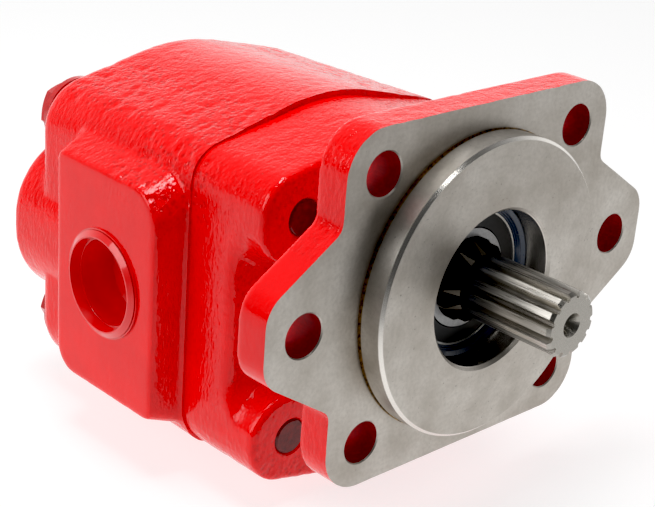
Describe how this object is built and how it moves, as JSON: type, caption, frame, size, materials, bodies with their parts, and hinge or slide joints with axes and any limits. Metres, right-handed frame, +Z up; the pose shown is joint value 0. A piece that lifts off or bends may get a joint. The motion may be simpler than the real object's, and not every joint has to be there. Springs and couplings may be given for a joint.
{
  "type": "hydraulic gear pump",
  "caption": "Flange-mounted external gear pump with a splined input shaft, threaded side ports and a two-part cast iron body.",
  "frame": {"origin": "where the drive shaft's axis meets the flange's mounting face", "axes": "-Y out along the drive shaft, +Z up with the driven gear below the drive gear, +X towards the open side port"},
  "size_m": [0.1766, 0.2172, 0.1462],
  "materials": {
    "red_enamel": "gloss enamel over sand-cast iron; the flange face, pilot and seal bore are bare machined iron",
    "shaft_steel": "oiled, ground and hobbed steel",
    "sleeve_steel": "fine ground",
    "bearing_bronze": "sintered bronze",
    "seal_rubber": "smooth nitrile",
    "backup_plastic": "plain moulded",
    "seal_coating": "dark blue elastic coating on pressed steel",
    "spring_steel": "drawn wire and thin pressed steel",
    "dowel_steel": "ground",
    "cap_plastic": "gloss moulded"
  },
  "bodies": {
    "pump_body": {"front_cover": "red_enamel", "gear_housing": "red_enamel", "front_drive_bushing": "bearing_bronze", "front_driven_bushing": "bearing_bronze", "rear_drive_bushing": "bearing_bronze", "rear_driven_bushing": "bearing_bronze", "front_thrust_plate": "bearing_bronze", "rear_thrust_plate": "bearing_bronze", "front_plate_seal": "seal_rubber", "rear_plate_seal": "seal_rubber", "front_plate_backup": "backup_plastic", "rear_plate_backup": "backup_plastic", "joint_seal": "seal_rubber", "seal_case": "seal_coating", "seal_inner_case": "spring_steel", "seal_lip": "seal_rubber", "garter_spring": "spring_steel", "cap_screws": "red_enamel", "cap_screw_washers": "red_enamel", "dowel_pins": "dowel_steel", "rear_port_plugs": "red_enamel", "rear_plug_rings": "seal_rubber", "left_port_cap": "cap_plastic"},
    "drive_shaft": {"drive_gear_shaft": "shaft_steel", "shaft_sleeve": "sleeve_steel"},
    "driven_shaft": {"driven_gear": "shaft_steel"}
  },
  "joints": [
    {"name": "drive_shaft_spin", "type": "hinge", "parent": "pump_body", "child": "drive_shaft", "pos_m": [0, 0, 0], "axis": [0, -1, 0], "continuous": true},
    {"name": "driven_shaft_spin", "type": "hinge", "parent": "pump_body", "child": "driven_shaft", "pos_m": [0, 0, -0.042], "axis": [0, -1, 0], "continuous": true}
  ],
  "couplings": [
    {"joint": "driven_shaft_spin", "follows": "drive_shaft_spin", "ratio": -1}
  ]
}
